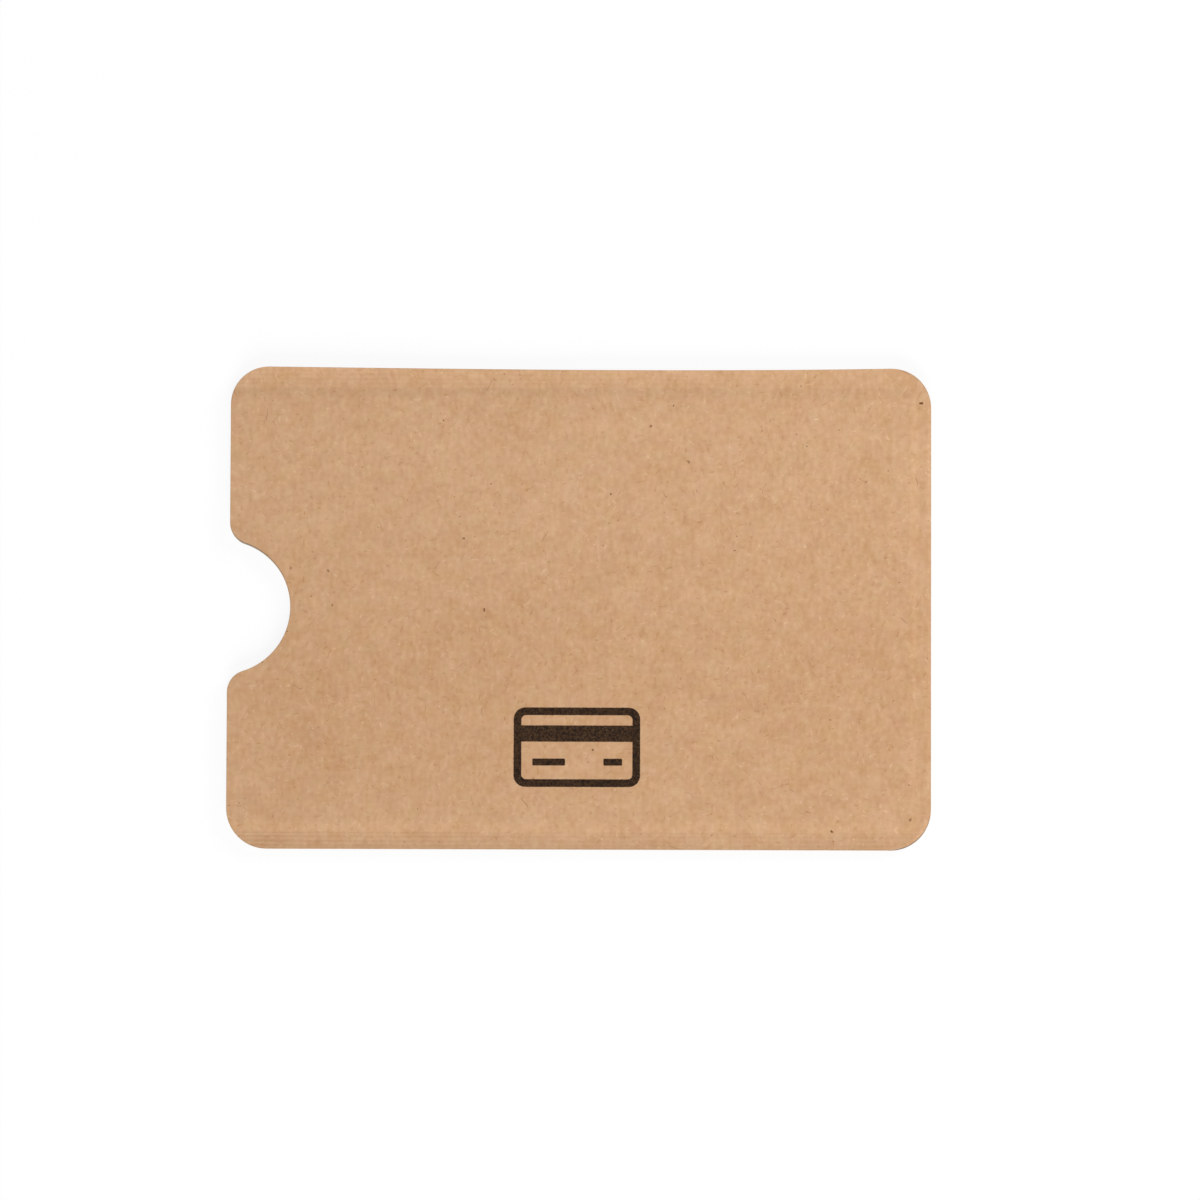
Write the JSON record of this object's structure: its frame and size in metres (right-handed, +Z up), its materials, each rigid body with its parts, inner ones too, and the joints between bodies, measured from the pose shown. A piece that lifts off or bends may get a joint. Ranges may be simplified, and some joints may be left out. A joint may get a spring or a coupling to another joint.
{
  "type": "rfid card sleeve",
  "caption": "Flat kraft-paper card sleeve lined with shielding foil, with ribbed heat-sealed side seams, rounded corners, a closed end and a round thumb notch in the open end.",
  "frame": {"origin": "centre of the outline, on the surface that the back of the sleeve lies on", "axes": "+X along the sleeve from the open end with its thumb notch to the closed end, +Y across it, +Z up through the front"},
  "size_m": [0.09, 0.062, 0.0015],
  "materials": {
    "kraft_paper": "matte",
    "shielding_foil": "satin",
    "sealing_film": "gloss"
  },
  "bodies": {
    "root": {"front_kraft": "kraft_paper", "front_foil": "shielding_foil", "front_film": "sealing_film", "back_kraft": "kraft_paper", "back_foil": "shielding_foil", "back_film": "sealing_film", "upper_side_seam": "sealing_film", "lower_side_seam": "sealing_film", "end_seam": "sealing_film"}
  },
  "joints": []
}
